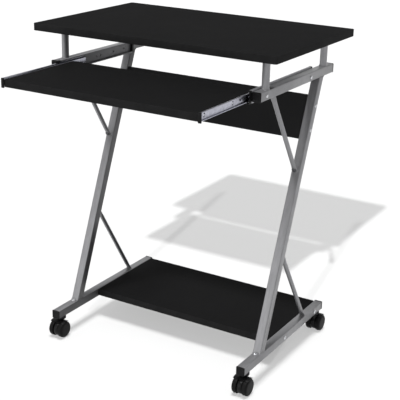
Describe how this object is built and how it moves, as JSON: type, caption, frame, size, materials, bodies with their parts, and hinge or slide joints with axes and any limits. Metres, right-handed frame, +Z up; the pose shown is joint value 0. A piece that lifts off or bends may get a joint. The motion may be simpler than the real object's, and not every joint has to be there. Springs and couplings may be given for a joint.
{
  "type": "computer desk with keyboard tray",
  "caption": "Small rolling computer desk with Z-shaped square-tube side frames, a raised top, a pull-out keyboard tray, a back panel and a low shelf.",
  "frame": {"origin": "on the floor, under the middle of the whole desk's footprint with the tray at its outer stop", "axes": "+X to the user's right, +Y to the back of the desk, +Z up"},
  "size_m": [0.6, 0.587, 0.755],
  "materials": {
    "board": "matte charcoal-black melamine on chipboard, fine grain",
    "frame_paint": "satin silver-grey powder coat",
    "slide_zinc": "bright zinc-plated pressed steel",
    "bolt_steel": "bright plated steel",
    "cap_plastic": "matte black moulded plastic",
    "caster_plastic": "satin black nylon",
    "caster_wheel": "satin black nylon",
    "caster_steel": "black-coated steel"
  },
  "bodies": {
    "frame": {"back_panel": "board", "beam_cap_left_back": "cap_plastic", "beam_cap_left_front": "cap_plastic", "beam_cap_right_back": "cap_plastic", "beam_cap_right_front": "cap_plastic", "beam_left": "frame_paint", "beam_right": "frame_paint", "bottom_shelf": "board", "caster_back_left_stem": "caster_steel", "caster_back_right_stem": "caster_steel", "caster_front_left_stem": "caster_steel", "caster_front_right_stem": "caster_steel", "foot_bolt_left": "bolt_steel", "foot_bolt_right": "bolt_steel", "leg_left": "frame_paint", "leg_right": "frame_paint", "lower_brace_left": "frame_paint", "lower_brace_right": "frame_paint", "post_left_back": "frame_paint", "post_left_front": "frame_paint", "post_right_back": "frame_paint", "post_right_front": "frame_paint", "rail_cap_left_back": "cap_plastic", "rail_cap_left_front": "cap_plastic", "rail_cap_right_back": "cap_plastic", "rail_cap_right_front": "cap_plastic", "rail_left": "frame_paint", "rail_right": "frame_paint", "shelf_bolt_left_back": "bolt_steel", "shelf_bolt_left_front": "bolt_steel", "shelf_bolt_right_back": "bolt_steel", "shelf_bolt_right_front": "bolt_steel", "slide_outer_left": "slide_zinc", "slide_outer_right": "slide_zinc", "tabletop": "board", "upper_brace_left": "frame_paint", "upper_brace_right": "frame_paint"},
    "tray": {"keyboard_tray": "board", "slide_cap_left": "cap_plastic", "slide_cap_right": "cap_plastic", "slide_inner_left": "slide_zinc", "slide_inner_right": "slide_zinc"},
    "retainer_left": {"slide_retainer_left": "slide_zinc"},
    "retainer_right": {"slide_retainer_right": "slide_zinc"},
    "caster_front_left": {"caster_front_left_hood": "caster_plastic", "caster_front_left_axle": "caster_steel"},
    "caster_front_left_wheel_a": {"caster_front_left_wheel_a": "caster_wheel"},
    "caster_front_left_wheel_b": {"caster_front_left_wheel_b": "caster_wheel"},
    "caster_front_right": {"caster_front_right_hood": "caster_plastic", "caster_front_right_axle": "caster_steel"},
    "caster_front_right_wheel_a": {"caster_front_right_wheel_a": "caster_wheel"},
    "caster_front_right_wheel_b": {"caster_front_right_wheel_b": "caster_wheel"},
    "caster_back_left": {"caster_back_left_hood": "caster_plastic", "caster_back_left_axle": "caster_steel"},
    "caster_back_left_wheel_a": {"caster_back_left_wheel_a": "caster_wheel"},
    "caster_back_left_wheel_b": {"caster_back_left_wheel_b": "caster_wheel"},
    "caster_back_right": {"caster_back_right_hood": "caster_plastic", "caster_back_right_axle": "caster_steel"},
    "caster_back_right_wheel_a": {"caster_back_right_wheel_a": "caster_wheel"},
    "caster_back_right_wheel_b": {"caster_back_right_wheel_b": "caster_wheel"}
  },
  "joints": [
    {"name": "tray_slide", "type": "slide", "parent": "frame", "child": "tray", "axis": [0, 1, 0], "range_m": [0, 0.19]},
    {"name": "retainer_left_slide", "type": "slide", "parent": "frame", "child": "retainer_left", "axis": [0, 1, 0], "range_m": [0, 0.095]},
    {"name": "retainer_right_slide", "type": "slide", "parent": "frame", "child": "retainer_right", "axis": [0, 1, 0], "range_m": [0, 0.095]},
    {"name": "caster_front_left_swivel", "type": "hinge", "parent": "frame", "child": "caster_front_left", "pos_m": [-0.252, -0.098, 0.036], "axis": [0, 0, 1], "continuous": true},
    {"name": "caster_front_left_wheel_a_spin", "type": "hinge", "parent": "caster_front_left", "child": "caster_front_left_wheel_a", "pos_m": [-0.252, -0.1055, 0.02], "axis": [1, 0, 0], "continuous": true},
    {"name": "caster_front_left_wheel_b_spin", "type": "hinge", "parent": "caster_front_left", "child": "caster_front_left_wheel_b", "pos_m": [-0.252, -0.1055, 0.02], "axis": [1, 0, 0], "continuous": true},
    {"name": "caster_front_right_swivel", "type": "hinge", "parent": "frame", "child": "caster_front_right", "pos_m": [0.252, -0.098, 0.036], "axis": [0, 0, 1], "continuous": true},
    {"name": "caster_front_right_wheel_a_spin", "type": "hinge", "parent": "caster_front_right", "child": "caster_front_right_wheel_a", "pos_m": [0.252, -0.1055, 0.02], "axis": [1, 0, 0], "continuous": true},
    {"name": "caster_front_right_wheel_b_spin", "type": "hinge", "parent": "caster_front_right", "child": "caster_front_right_wheel_b", "pos_m": [0.252, -0.1055, 0.02], "axis": [1, 0, 0], "continuous": true},
    {"name": "caster_back_left_swivel", "type": "hinge", "parent": "frame", "child": "caster_back_left", "pos_m": [-0.252, 0.266, 0.036], "axis": [0, 0, 1], "continuous": true},
    {"name": "caster_back_left_wheel_a_spin", "type": "hinge", "parent": "caster_back_left", "child": "caster_back_left_wheel_a", "pos_m": [-0.252, 0.2735, 0.02], "axis": [1, 0, 0], "continuous": true},
    {"name": "caster_back_left_wheel_b_spin", "type": "hinge", "parent": "caster_back_left", "child": "caster_back_left_wheel_b", "pos_m": [-0.252, 0.2735, 0.02], "axis": [1, 0, 0], "continuous": true},
    {"name": "caster_back_right_swivel", "type": "hinge", "parent": "frame", "child": "caster_back_right", "pos_m": [0.252, 0.266, 0.036], "axis": [0, 0, 1], "continuous": true},
    {"name": "caster_back_right_wheel_a_spin", "type": "hinge", "parent": "caster_back_right", "child": "caster_back_right_wheel_a", "pos_m": [0.252, 0.2735, 0.02], "axis": [1, 0, 0], "continuous": true},
    {"name": "caster_back_right_wheel_b_spin", "type": "hinge", "parent": "caster_back_right", "child": "caster_back_right_wheel_b", "pos_m": [0.252, 0.2735, 0.02], "axis": [1, 0, 0], "continuous": true}
  ],
  "couplings": [
    {"joint": "retainer_left_slide", "follows": "tray_slide", "ratio": 0.5},
    {"joint": "retainer_right_slide", "follows": "tray_slide", "ratio": 0.5}
  ]
}
